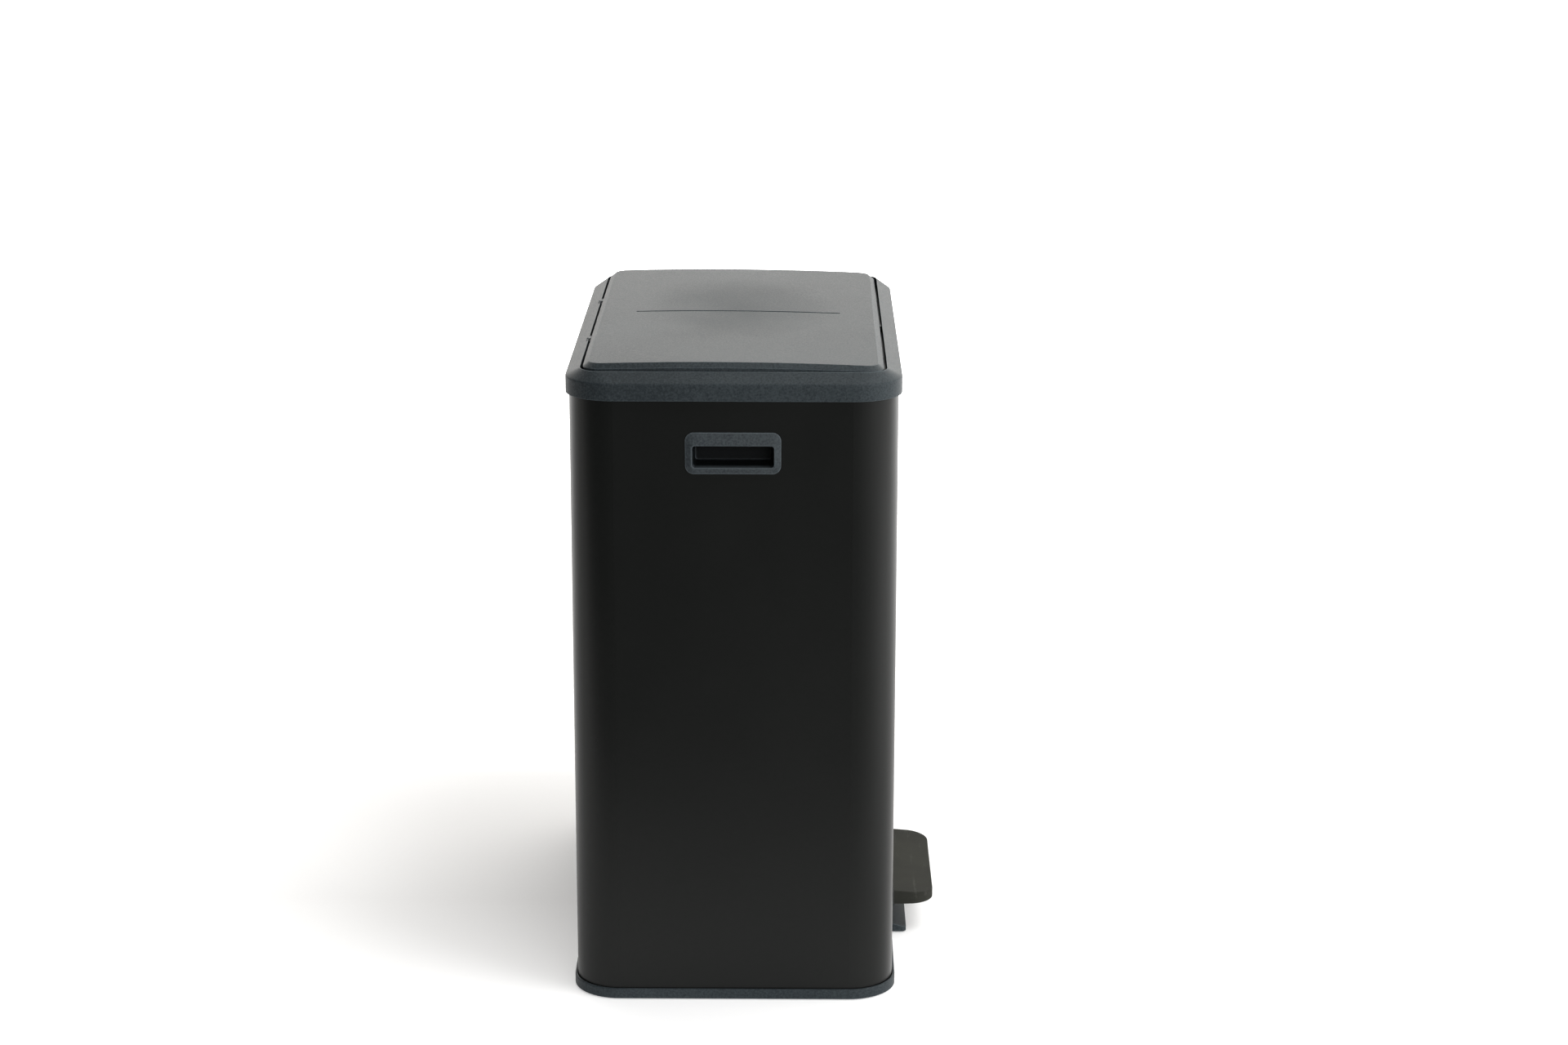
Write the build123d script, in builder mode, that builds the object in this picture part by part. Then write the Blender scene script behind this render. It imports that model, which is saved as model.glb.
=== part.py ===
"""Two-compartment pedal bin: steel body on a moulded base, domed lid in a bevelled collar, pedal,
lift rod and air damper, two lift-out buckets. Millimetres, +Z up, front (pedal side) towards -Y.
The origin is the centre of the footprint, on the floor."""

from build123d import *

import os
from math import cos, degrees, radians, sin, sqrt

# ---------------------------------------------------------------- driving dimensions
body_length = 540.0  # left to right
body_depth = 330.0  # front to back
body_corner = 46.0
sheet = 0.8  # steel of the body
seam_x = 70.0
seam_width = 16.0
front_reach = 213.5  # from the body's axis to the pedal's lip
lid_crest_z = 673.5
handle_z = 584.15  # middle of the side handle bezels
lid_angle = 80.0  # how far the lid opens
pedal_angle = 10.0  # how far the pedal goes down
crank_reach = 22.0  # from the hinge axis forward to the push rod

# ---------------------------------------------------------------- base
base_overhang = 3.0
base_wall = 2.2
base_corner = 49.0
base_bottom_z = 1.0
base_floor_z = 6.0
base_floor_thickness = 3.0
base_top_z = 11.5
upstand_gap = 0.2
upstand_top_z = 20.0
bucket_rib_top_z = 16.0
bucket_rib_x = (55.0, 125.0, 195.0)
toe_half_width = 92.0
toe_reach = 184.5
toe_corner = 5.5
toe_tip_z = 6.0
toe_root_z = 10.5
foot_radius = 14.0
corner_feet = (430.0, 240.0)  # spacing left to right and front to back
inner_feet = (170.0, 270.0)

# ---------------------------------------------------------------- collar
collar_overhang = 3.5
collar_corner = 49.5
collar_bottom_z = 637.4
collar_crease_z = 654.4
collar_top_z = 664.0
collar_wall = 2.4
collar_crease_radius = 2.0
well_inset = 12.2  # body face to the well that the lid drops into
well_corner = 22.0
ledge_z = 652.0
throat_inset = 20.0  # the open mouth, on the front and both sides
throat_back = 119.0  # at the back the ledge is wide, over the lift gear
throat_corner = 24.0
throat_bottom_z = 634.0
shell_top_z = 644.0
buffer_radius = 3.0

# ---------------------------------------------------------------- lid
lid_gap = 3.0
lid_corner = 19.0
lid_bottom_z = 656.0
lid_wall = 2.5
rib_thickness = 1.8
lid_bevel_width = 6.0
lid_bevel_height = 4.6
crown_radius_y = 3650.0  # arch from front to back
crown_radius_x = 20300.0  # much flatter arch from left to right
crest_y = 25.0  # the arch is highest this far behind the middle
groove_length = 218.0
groove_width = 4.2
groove_depth = 1.4
panel_bottom_z = 656.6
panel_thickness = 2.0
lid_rib_x = (-205, -103, 0, 103, 205)
lid_rib_y = (-60, 45)
lid_screw_x = (-205, 0, 205)
lid_screw_y = (-115, 105)
boss_radius = 4.2
screw_radius = 1.5
screw_head_radius = 3.2
screw_head_height = 1.6

# ---------------------------------------------------------------- hinge
hinge_x = 99.0
hinge_z = 662.8
knuckle_radius = 2.4
knuckle_length = 5.0
ear_length = 3.4
hinge_pin_radius = 1.25
part_gap = 0.3  # between neighbouring pieces that move
running = 0.08  # radial clearance of a turning or sliding fit
press = 0.02  # radial room between two pieces that are fixed together

# ---------------------------------------------------------------- push rod and damper
rod_radius = 2.5
rod_x = 17.0
rod_bend = 7.0
rod_tip_x = -14.0
crank_half_width = 2.0
crank_plate = 2.5
crank_slot_radius = 3.7
crank_rim_radius = 7.2
nut_radius = 4.6
nut_thickness = 1.6
guide_bottoms = (118, 596)
guide_height = 14.0
guide_rivet_x = 16.0
damper_x = -22.0
damper_y = 140.0
damper_radius = 10.0
damper_bore = 8.0
damper_bottom_z = 300.0
damper_top_z = 375.0
damper_rod_radius = 2.0
bracket_z = 340.0
bracket_rivet_x = 18.0
band_bottoms = (318, 352)
band_height = 10.0
yoke_z = 422.0
yoke_thickness = 8.0
rivet_radius = 1.6
rivet_head_radius = 3.6

# ---------------------------------------------------------------- pedal
tread_half_width = 95.0
tread_back = 170.5
tread_corner = 24.0
tread_back_z = 50.0
tread_lip_z = 46.5
tread_dish = 1.5
tread_sheet = 1.8
tread_skirt_back_z = 34.4
tread_skirt_lip_z = 35.7
lever_half_width = 11.0
lever_sheet = 1.6
pivot_z = 43.0
axle_radius = 3.0
lug_inner_x = 13.0
lug_thickness = 4.0
lug_radius = 8.0
lug_foot = 34.0
slot_width = 28.0
slot_height = 33.0
slot_z = 34.5  # middle of the lever's slot in the front

# ---------------------------------------------------------------- side handles
bezel_width = 95.3
bezel_height = 42.3
bezel_corner = 8.7
bezel_edge = 0.8
bezel_raise = 3.2
grip_width = 81.5
grip_height = 22.3
grip_z = 580.95
grip_corner = 3.0
grip_depth = 22.0
grip_draft = 2.4
grip_back_radius = 1.4
cup_wall = 1.8
hole_margin = 3.3  # how far the bezel laps over the sheet around its hole
tooth_width = 9.0
tooth_spacing = 50.0
tooth_lap = 1.4
tooth_thickness = 2.5

# ---------------------------------------------------------------- buckets
bucket_inner_x = 10.0
bucket_outer_x = 241.0
bucket_front = -136.0
bucket_back = 112.0
bucket_bottom_z = 16.3
bucket_top_z = 622.0
bucket_taper = 15.0
bucket_corner = 32.0
bucket_wall = 2.2
bucket_rim = 5.5
bucket_rim_height = 14.0
finger_slot = (100.0, 26.0)
finger_slot_drop = 36.0  # from the rim to the slot's middle

# ---------------------------------------------------------------- worked out
half_length = body_length / 2
half_depth = body_depth / 2
body_y = (front_reach - half_depth - collar_overhang) / 2  # centres the whole footprint
hinge_y = half_depth - well_inset - lid_gap / 2  # in the middle of the back gap
rod_y = hinge_y - crank_reach
rod_travel = 1.135 * crank_reach * radians(lid_angle)
rod_top_z = hinge_z - rod_travel / 2
rod_bottom_z = pivot_z - rod_travel / 2
lever_arm = rod_travel / 2 / sin(radians(pedal_angle / 2))
pivot_y = rod_y - lever_arm * cos(radians(pedal_angle / 2))
wall_y = half_depth - sheet  # inner face of the back
lid_inset = well_inset + lid_gap

upright = (Align.CENTER, Align.CENTER, Align.MIN)  # a cone or cylinder that stands on its place

os.makedirs("parts", exist_ok=True)


# ---------------------------------------------------------------- helpers
def level(z):
    """Horizontal plane at height z, centred on the body's axis."""
    return Plane(origin=(0, body_y, z))


def side(x):
    """Plane across X: its own x runs towards the back and its own y runs up."""
    return Plane(origin=(x, body_y, 0), x_dir=(0, 1, 0), z_dir=(1, 0, 0))


def facing(y):
    """Plane that faces the front: its own x is X and its own y runs up."""
    return Plane(origin=(0, body_y + y, 0), x_dir=(1, 0, 0), z_dir=(0, -1, 0))


def outward(x_sign):
    """Plane on the left or right face of the body, facing away from it."""
    return Plane(origin=(x_sign * half_length, body_y, 0), x_dir=(0, x_sign, 0), z_dir=(x_sign, 0, 0))


def outline(inset, radius, mode=Mode.ADD):
    """The body's rounded rectangle, moved in by inset."""
    RectangleRounded(body_length - 2 * inset, body_depth - 2 * inset, radius, mode=mode)


def span(x0, x1, y0, y1, radius, mode=Mode.ADD):
    """A rounded rectangle between two pairs of coordinates."""
    with Locations(((x0 + x1) / 2, (y0 + y1) / 2)):
        RectangleRounded(x1 - x0, y1 - y0, radius, mode=mode)


def save(part, name):
    """Labels a finished piece and writes it."""
    part.label = name
    export_step(part, f"parts/{name}.step")


# ================================================================ base
def make_base_tray():
    floor_bottom_z = base_floor_z - base_floor_thickness
    upstand = sheet + upstand_gap
    with BuildPart() as tray:
        with BuildSketch(level(base_bottom_z)):
            outline(-base_overhang, base_corner)
        extrude(amount=base_top_z - base_bottom_z)
        fillet(tray.edges().group_by(Axis.Z)[-1], 1.4)
        with BuildSketch(level(base_floor_z)):
            outline(base_wall - base_overhang, base_corner - base_wall)
        extrude(amount=base_top_z, mode=Mode.SUBTRACT)
        with BuildSketch(level(floor_bottom_z)):
            outline(base_wall - base_overhang, base_corner - base_wall)
        extrude(amount=-base_floor_thickness, mode=Mode.SUBTRACT)
        with BuildSketch(level(base_floor_z)):
            outline(upstand, body_corner - upstand)
            outline(upstand + base_wall, body_corner - upstand - base_wall, mode=Mode.SUBTRACT)
        extrude(amount=upstand_top_z - base_floor_z)
        # ribs that the buckets stand on
        with BuildSketch(level(base_floor_z)):
            with Locations(*[(x_sign * x, -12) for x in bucket_rib_x for x_sign in (-1, 1)]):
                Rectangle(2.5, 220)
        extrude(amount=bucket_rib_top_z - base_floor_z)
        # toe plate in front, under the pedal
        with BuildSketch(side(-toe_half_width)):
            with BuildLine():
                Polyline(
                    (-half_depth - base_overhang + 1, base_bottom_z),
                    (-toe_reach, base_bottom_z),
                    (-toe_reach, toe_tip_z),
                    (-half_depth - base_overhang + 1, toe_root_z),
                    close=True,
                )
            make_face()
        extrude(amount=2 * toe_half_width)
        toe_edges = tray.edges().filter_by(Axis.Z).group_by(Axis.Y)[0]
        fillet(toe_edges, toe_corner)
        # lugs for the pedal's axle
        for x_sign in (-1, 1):
            with BuildSketch(side(x_sign * lug_inner_x)):
                with Locations((pivot_y, pivot_z)):
                    Circle(lug_radius)
                with Locations((pivot_y, base_floor_z)):
                    Rectangle(lug_foot, 2)
                make_hull()
                with Locations((pivot_y, pivot_z)):
                    Circle(axle_radius + running, mode=Mode.SUBTRACT)
            extrude(amount=x_sign * lug_thickness)
        # way through the upstand for the lever
        with BuildSketch(facing(-half_depth)):
            with Locations((0, slot_z)):
                Rectangle(slot_width, slot_height)
        extrude(amount=-8, mode=Mode.SUBTRACT)
    save(tray.part, "base_tray")


def make_foot_pads():
    with BuildPart() as pads:
        with BuildSketch(level(0)):
            for across, along in (corner_feet, inner_feet):
                with GridLocations(across, along, 2, 2):
                    Circle(foot_radius)
        extrude(amount=base_floor_z - base_floor_thickness)
        fillet(pads.edges().group_by(Axis.Z)[0], 0.8)
    save(pads.part, "foot_pads")


# ================================================================ body
def make_body_shell():
    height = shell_top_z - base_floor_z
    with BuildPart() as shell:
        with BuildSketch(level(base_floor_z)):
            outline(0, body_corner)
            outline(sheet, body_corner - sheet, mode=Mode.SUBTRACT)
        extrude(amount=height)
        # lap of the sheet's two ends, down the back beside the lift gear
        with BuildSketch(level(upstand_top_z + 1)):
            with Locations((seam_x, wall_y - sheet / 2)):
                Rectangle(seam_width, sheet)
        extrude(amount=collar_bottom_z - upstand_top_z - 6)
        with BuildSketch(level(base_floor_z)):
            with Locations((seam_x + seam_width / 2 - 1, half_depth)):
                Rectangle(0.6, 0.6)
        extrude(amount=height, mode=Mode.SUBTRACT)
        # holes for the handle cups
        with BuildSketch(side(-half_length - 2)):
            with Locations((0, handle_z)):
                RectangleRounded(bezel_width - 2 * hole_margin, bezel_height - 2 * hole_margin, 5)
        extrude(amount=body_length + 4, mode=Mode.SUBTRACT)
        # slot for the pedal's lever
        with BuildSketch(facing(-half_depth - 2)):
            with Locations((0, slot_z)):
                RectangleRounded(slot_width + 4, slot_height + 4, 3)
        extrude(amount=-6, mode=Mode.SUBTRACT)
        # rivet holes in the back
        for x, z in rivet_places():
            with BuildSketch(facing(half_depth + 2)):
                with Locations((x, z)):
                    Circle(rivet_radius + press)
            extrude(amount=6, mode=Mode.SUBTRACT)
    save(shell.part, "body_shell")


def make_lever_grommet():
    """Moulded frame that lines the slot in the steel where the lever passes."""
    with BuildPart() as grommet:
        with BuildSketch(facing(-half_depth)):
            with Locations((0, slot_z)):
                RectangleRounded(slot_width + 10, slot_height + 8, 5)
        extrude(amount=1.6)
        fillet(grommet.edges().group_by(Axis.Y)[0], 0.8)
        with BuildSketch(facing(-half_depth)):
            with Locations((0, slot_z)):
                RectangleRounded(slot_width + 3.6, slot_height + 3.6, 2.8)
        extrude(amount=-sheet)
        with BuildSketch(facing(-half_depth - 4)):
            with Locations((0, slot_z)):
                RectangleRounded(slot_width, slot_height, 2)
        extrude(amount=-8, mode=Mode.SUBTRACT)
    save(grommet.part, "lever_grommet")


def make_handle_cup(x_sign, name):
    face = outward(x_sign)
    with BuildPart() as cup:
        with BuildSketch(face):
            with Locations((0, handle_z)):
                RectangleRounded(bezel_width, bezel_height, bezel_corner)
        extrude(amount=bezel_edge)
        with BuildSketch(face.offset(bezel_edge)):
            with Locations((0, handle_z)):
                RectangleRounded(bezel_width, bezel_height, bezel_corner)
        with BuildSketch(face.offset(bezel_raise)):
            with Locations((0, grip_z)):
                RectangleRounded(grip_width + 2.4, grip_height + 2.4, grip_corner + 1.2)
        loft()
        # tub behind the face
        with BuildSketch(face):
            with Locations((0, grip_z)):
                RectangleRounded(grip_width + 2 * cup_wall, grip_height + 2 * cup_wall, 4)
        with BuildSketch(face.offset(-grip_depth - cup_wall)):
            with Locations((0, grip_z)):
                RectangleRounded(
                    grip_width - 2 * grip_draft + 2 * cup_wall,
                    grip_height - 2 * grip_draft + 2 * cup_wall,
                    4,
                )
        loft()
        # the recess itself
        with BuildSketch(face.offset(bezel_raise)):
            with Locations((0, grip_z)):
                RectangleRounded(grip_width, grip_height, grip_corner)
        with BuildSketch(face.offset(-grip_depth)):
            with Locations((0, grip_z)):
                RectangleRounded(grip_width - 2 * grip_draft, grip_height - 2 * grip_draft, grip_corner)
        loft(mode=Mode.SUBTRACT)
        back = half_length - grip_depth
        fillet(cup.edges().filter_by(lambda e: abs(abs(e.center().X) - back) < 0.01), grip_back_radius)
        # snap teeth from the tub's top and bottom to behind the sheet
        for z_sign in (-1, 1):
            root_z = grip_z + z_sign * (grip_height / 2 + cup_wall - 1)
            tip_z = handle_z + z_sign * (bezel_height / 2 - hole_margin + tooth_lap)
            with BuildSketch(face.offset(-sheet - part_gap)):
                with Locations((0, (root_z + tip_z) / 2)):
                    with GridLocations(tooth_spacing, 1, 2, 1):
                        Rectangle(tooth_width, abs(tip_z - root_z))
            extrude(amount=-tooth_thickness)
    save(cup.part, name)


# ================================================================ collar
def make_top_collar():
    rib = sheet + upstand_gap
    with BuildPart() as collar:
        with BuildSketch(level(collar_bottom_z)):
            outline(-collar_overhang, collar_corner)
        extrude(amount=collar_crease_z - collar_bottom_z)
        with BuildSketch(level(collar_crease_z)):
            outline(-collar_overhang, collar_corner)
        with BuildSketch(level(collar_top_z)):
            outline(well_inset, well_corner)
        loft()
        # everything below the band: the throat wall and the rib behind the sheet
        with BuildSketch(level(throat_bottom_z)):
            outline(rib, body_corner - rib)
        extrude(amount=collar_bottom_z - throat_bottom_z)
        # slot that the body's top edge sits in
        with BuildSketch(level(throat_bottom_z)):
            outline(collar_wall - collar_overhang, collar_corner - collar_wall)
            outline(rib, body_corner - rib, mode=Mode.SUBTRACT)
        extrude(amount=shell_top_z + 6 - throat_bottom_z, mode=Mode.SUBTRACT)
        # hollow behind the rib
        with BuildSketch(level(throat_bottom_z)):
            outline(rib + collar_wall, body_corner - rib - collar_wall)
            outline(well_inset - collar_wall, well_corner + collar_wall, mode=Mode.SUBTRACT)
        extrude(amount=collar_crease_z + 1 - throat_bottom_z, mode=Mode.SUBTRACT)
        # hollow under the ledge, outside the throat wall
        throat_x = half_length - throat_inset
        throat_front = -half_depth + throat_inset
        with BuildSketch(level(throat_bottom_z)):
            outline(rib + collar_wall, body_corner - rib - collar_wall)
            span(
                -throat_x - collar_wall,
                throat_x + collar_wall,
                throat_front - collar_wall,
                throat_back + collar_wall,
                throat_corner + collar_wall,
                mode=Mode.SUBTRACT,
            )
        extrude(amount=ledge_z - collar_wall - throat_bottom_z, mode=Mode.SUBTRACT)
        # the well for the lid and the throat below it
        with BuildSketch(level(ledge_z)):
            outline(well_inset, well_corner)
        extrude(amount=collar_top_z, mode=Mode.SUBTRACT)
        with BuildSketch(level(throat_bottom_z)):
            span(-throat_x, throat_x, throat_front, throat_back, throat_corner)
        extrude(amount=collar_top_z, mode=Mode.SUBTRACT)
        # slot in the wide back ledge for the crank and the push rod
        with BuildSketch(level(throat_bottom_z)):
            span(-9, rod_x + 6, throat_back - 5, hinge_y - 7.5, 2)
        extrude(amount=collar_top_z, mode=Mode.SUBTRACT)
        # hinge: ears, and room for the lid's knuckles between them
        for x in (-hinge_x, hinge_x):
            for x_sign in (-1, 1):
                with BuildSketch(side(x + x_sign * (knuckle_length / 2 + part_gap))):
                    with Locations((hinge_y, hinge_z)):
                        Circle(knuckle_radius)
                    with Locations((hinge_y + 2, hinge_z - 0.8)):
                        Rectangle(4, 2 * knuckle_radius - 1.6)
                extrude(amount=x_sign * ear_length)
            with BuildSketch(side(x - knuckle_length / 2 - part_gap)):
                with Locations((hinge_y, hinge_z)):
                    Circle(knuckle_radius + 0.4)
            extrude(amount=knuckle_length + 2 * part_gap, mode=Mode.SUBTRACT)
            with BuildSketch(side(x - 8)):
                with Locations((hinge_y, hinge_z)):
                    Circle(hinge_pin_radius + running)
            extrude(amount=16, mode=Mode.SUBTRACT)
        # nib that centres the lid's front edge
        with BuildSketch(level(ledge_z)):
            span(-5, 5, -half_depth + well_inset - 1, -half_depth + well_inset + 2.2, 0.8)
        extrude(amount=6)
        crease = collar.edges().filter_by(lambda e: abs(e.center().Z - collar_crease_z) < 0.01)
        fillet(crease.filter_by(is_outside), collar_crease_radius)
    save(collar.part, "top_collar")


def is_outside(edge):
    """Whether an edge lies on the collar's outer band."""
    middle = edge.position_at(0.5)
    return abs(middle.X) > half_length - 12 or abs(middle.Y - body_y) > half_depth - 12


def make_lid_buffers():
    """Small rubber discs on the ledge that the lid comes down on."""
    centre = (well_inset + throat_inset) / 2
    with BuildPart() as buffers:
        with BuildSketch(level(ledge_z)):
            for x_sign in (-1, 1):
                with Locations((x_sign * (half_length - centre), -95)):
                    Circle(buffer_radius)
                with Locations((x_sign * 150, -half_depth + centre)):
                    Circle(buffer_radius)
        extrude(amount=lid_bottom_z - part_gap - ledge_z)
    save(buffers.part, "lid_buffers")


# ================================================================ lid
def crowned_block(drop, inset, bevel):
    """The lid's outline, filled up to a surface arched both ways, with a bevelled top edge."""
    half_turn = degrees(300 / crown_radius_x)
    centre_z = lid_crest_z - crown_radius_x
    start = Plane(
        origin=(0, body_y, centre_z),
        x_dir=(0, 1, 0),
        z_dir=(cos(radians(half_turn)), 0, sin(radians(half_turn))),
    )
    reach = 190
    crest = crown_radius_x - drop
    back_fall = sqrt(crown_radius_y**2 - (reach - crest_y) ** 2) - crown_radius_y
    front_fall = sqrt(crown_radius_y**2 - (reach + crest_y) ** 2) - crown_radius_y
    with BuildPart() as dome:
        with BuildSketch(start):
            with BuildLine():
                ThreePointArc((-reach, crest + front_fall), (crest_y, crest), (reach, crest + back_fall))
                Polyline(
                    (reach, crest + back_fall),
                    (reach, crest - 60),
                    (-reach, crest - 60),
                    (-reach, crest + front_fall),
                )
            make_face()
        revolve(axis=Axis((0, body_y, centre_z), (0, 1, 0)), revolution_arc=2 * half_turn)
    with BuildPart() as block:
        with BuildSketch(level(lid_bottom_z)):
            outline(lid_inset + inset, lid_corner - inset)
        extrude(amount=40)
        add(dome.part, mode=Mode.INTERSECT)
        top = block.faces().sort_by(Axis.Z)[-1]
        chamfer(top.outer_wire().edges(), length=bevel[0], length2=bevel[1], reference=top)
    return block.part


def lid_screw_places():
    """Where screws go up through the liner, from the body's axis."""
    return [(x, y) for x in lid_screw_x for y in lid_screw_y]


def crank_screw_places():
    return [(-10.5, hinge_y - 20), (10.5, hinge_y - 20)]


def make_lid_shell():
    outer = crowned_block(0, 0, (lid_bevel_width, lid_bevel_height))
    inner = crowned_block(lid_wall, lid_wall, (lid_bevel_width - 0.8, lid_bevel_height - 0.6))
    panel_top_z = panel_bottom_z + panel_thickness
    with BuildPart() as hollow:
        add(inner)
        # screw bosses and stiffening ribs stay solid
        with BuildSketch(level(panel_top_z)):
            with Locations(*lid_screw_places(), *crank_screw_places()):
                Circle(boss_radius)
        extrude(amount=30, mode=Mode.SUBTRACT)
        for x in lid_rib_x:
            with BuildSketch(level(panel_top_z + 1.5)):
                with Locations((x, 0)):
                    Rectangle(rib_thickness, body_depth + 70)
            extrude(amount=14, mode=Mode.SUBTRACT)
        for y in lid_rib_y:
            with BuildSketch(level(panel_top_z + 1.5)):
                with Locations((0, y)):
                    Rectangle(body_length + 60, rib_thickness)
            extrude(amount=14, mode=Mode.SUBTRACT)
    # straight groove with round ends, as deep all along the arched top
    with BuildPart() as groove:
        with BuildSketch(level(lid_crest_z - 10)):
            SlotOverall(groove_length, groove_width, rotation=90)
        extrude(amount=20)
        add(crowned_block(groove_depth, 0, (lid_bevel_width, lid_bevel_height)), mode=Mode.SUBTRACT)
    with BuildPart() as lid:
        add(outer)
        add(hollow.part, mode=Mode.SUBTRACT)
        add(groove.part, mode=Mode.SUBTRACT)
        # pilot holes in the bosses
        with BuildSketch(level(lid_bottom_z)):
            with Locations(*lid_screw_places(), *crank_screw_places()):
                Circle(screw_radius + press)
        extrude(amount=10, mode=Mode.SUBTRACT)
        # room for the collar's ears, then the knuckle between them
        for x in (-hinge_x, hinge_x):
            with BuildSketch(side(x - 7)):
                with Locations((hinge_y, hinge_z)):
                    Circle(knuckle_radius + 0.4)
            extrude(amount=14, mode=Mode.SUBTRACT)
            with BuildSketch(side(x - knuckle_length / 2)):
                with Locations((hinge_y, hinge_z)):
                    Circle(knuckle_radius)
                with Locations((hinge_y - 1.9, hinge_z)):
                    Rectangle(3.8, 4)
            extrude(amount=knuckle_length)
            with BuildSketch(side(x - knuckle_length / 2)):
                with Locations((hinge_y, hinge_z)):
                    Circle(hinge_pin_radius + press)
            extrude(amount=knuckle_length, mode=Mode.SUBTRACT)
    save(lid.part, "lid_shell")


def make_hinge_pins():
    length = knuckle_length + 2 * part_gap + 2 * ear_length
    with BuildPart() as pins:
        for x in (-hinge_x, hinge_x):
            with BuildSketch(side(x - length / 2)):
                with Locations((hinge_y, hinge_z)):
                    Circle(hinge_pin_radius)
            extrude(amount=length)
    save(pins.part, "hinge_pins")


def make_lid_liner():
    inset = lid_inset + lid_wall + 0.3
    with BuildPart() as liner:
        with BuildSketch(level(panel_bottom_z)):
            outline(inset, lid_corner - lid_wall - 0.3)
        extrude(amount=panel_thickness)
        with BuildSketch(level(panel_bottom_z)):
            with Locations(*lid_screw_places(), *crank_screw_places()):
                Circle(screw_radius + press)
        extrude(amount=panel_thickness, mode=Mode.SUBTRACT)
        # pressed channel around the liner's edge
        with BuildSketch(level(panel_bottom_z)):
            outline(inset + 12, 12)
            outline(inset + 16, 8, mode=Mode.SUBTRACT)
        extrude(amount=0.8, mode=Mode.SUBTRACT)
    save(liner.part, "lid_liner")


def make_lid_screws():
    """Pan-head screws that hold the liner up to the lid's bosses."""
    with BuildPart() as screws:
        with BuildSketch(level(panel_bottom_z)):
            with Locations(*lid_screw_places()):
                Circle(screw_head_radius)
        extrude(amount=-screw_head_height)
        fillet(screws.edges().group_by(Axis.Z)[0], 0.7)
        with BuildSketch(level(panel_bottom_z - screw_head_height)):
            with Locations(*lid_screw_places()):
                Rectangle(3.6, 0.8)
                Rectangle(0.8, 3.6)
        extrude(amount=0.9, mode=Mode.SUBTRACT)
        with BuildSketch(level(panel_bottom_z)):
            with Locations(*lid_screw_places()):
                Circle(screw_radius)
        extrude(amount=8.5)
    save(screws.part, "lid_screws")


def make_lid_crank():
    """Bracket under the lid's back edge. The push rod's hooked end runs in its slot."""
    plate_bottom_z = panel_bottom_z - crank_plate
    slot_near = (hinge_y - 17.2, hinge_z - 14.5)
    slot_far = (hinge_y - 21.3, hinge_z - 17.9)
    with BuildPart() as crank:
        with BuildSketch(level(plate_bottom_z)):
            span(-16, 16, hinge_y - 29, hinge_y - 9, 3)
        extrude(amount=crank_plate)
        with BuildSketch(side(-crank_half_width)):
            with Locations((hinge_y - 19.5, plate_bottom_z + 0.5)):
                Rectangle(19, 1)
            with Locations(slot_near, slot_far):
                Circle(crank_rim_radius)
            make_hull()
        extrude(amount=2 * crank_half_width)
        with BuildSketch(side(-crank_half_width)):
            with Locations(slot_near, slot_far):
                Circle(crank_slot_radius)
            make_hull()
        extrude(amount=2 * crank_half_width, mode=Mode.SUBTRACT)
        with Locations(*[(x, body_y + y, plate_bottom_z) for x, y in crank_screw_places()]):
            Cylinder(screw_radius + press, 20, mode=Mode.SUBTRACT)
            Cone(3.0, screw_radius + press, 1.6, align=upright, mode=Mode.SUBTRACT)
    save(crank.part, "lid_crank")


def make_crank_screws():
    plate_bottom_z = panel_bottom_z - crank_plate
    with BuildPart() as screws:
        with Locations(*[(x, body_y + y, plate_bottom_z + 0.05) for x, y in crank_screw_places()]):
            Cone(2.9, screw_radius, 1.5, align=upright)
            Cylinder(screw_radius, 10, align=upright)
    save(screws.part, "crank_screws")


# ================================================================ pedal
def tread_block(offset_in, drop):
    """The tread's plan filled up to its dished top, moved in and down by the sheet's thickness."""
    slope = (tread_back_z - tread_lip_z) / (front_reach - tread_back)
    top_back = tread_back_z - drop
    far = 8.0  # runs past both ends before the plan trims it
    section = Plane(
        origin=(0, body_y - tread_back + far, top_back + slope * far),
        x_dir=(1, 0, 0),
        z_dir=(0, -1, -slope),
    )
    with BuildPart() as block:
        with BuildSketch(section):
            with BuildLine():
                edge = tread_half_width + 5
                rise = tread_dish * (edge / tread_half_width) ** 2 - tread_dish
                ThreePointArc((-edge, rise), (0, -tread_dish), (edge, rise))
                Polyline((edge, rise), (edge, -30), (-edge, -30), (-edge, rise))
            make_face()
        extrude(amount=80)
        with BuildSketch(level(0)):
            with BuildLine():
                half = tread_half_width - offset_in
                lip = -front_reach + offset_in
                radius = tread_corner - offset_in
                back = -tread_back + (5 if offset_in else 0)
                FilletPolyline((-half, back), (-half, lip), (half, lip), (half, back), radius=radius)
                Line((half, back), (-half, back))
            make_face()
        extrude(amount=80, mode=Mode.INTERSECT)
    return block.part


def make_pedal_tread():
    outer = tread_block(0, 0)
    inner = tread_block(tread_sheet, tread_sheet)
    with BuildPart() as tread:
        add(outer)
        # the skirt's lower edge
        with BuildSketch(side(-tread_half_width - 5)):
            with BuildLine():
                Polyline(
                    (-tread_back + 5, 0),
                    (-tread_back + 5, tread_skirt_back_z),
                    (-tread_back, tread_skirt_back_z),
                    (-front_reach - 1, tread_skirt_lip_z),
                    (-front_reach - 1, 0),
                    close=True,
                )
            make_face()
        extrude(amount=2 * tread_half_width + 10, mode=Mode.SUBTRACT)
        top = tread.faces().sort_by(Axis.Z)[-1]
        rim = top.outer_wire().edges().filter_by(lambda e: e.center().Y < body_y - tread_back - 1)
        fillet(rim, 1.1)
        add(inner, mode=Mode.SUBTRACT)
    save(tread.part, "pedal_tread")


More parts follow.
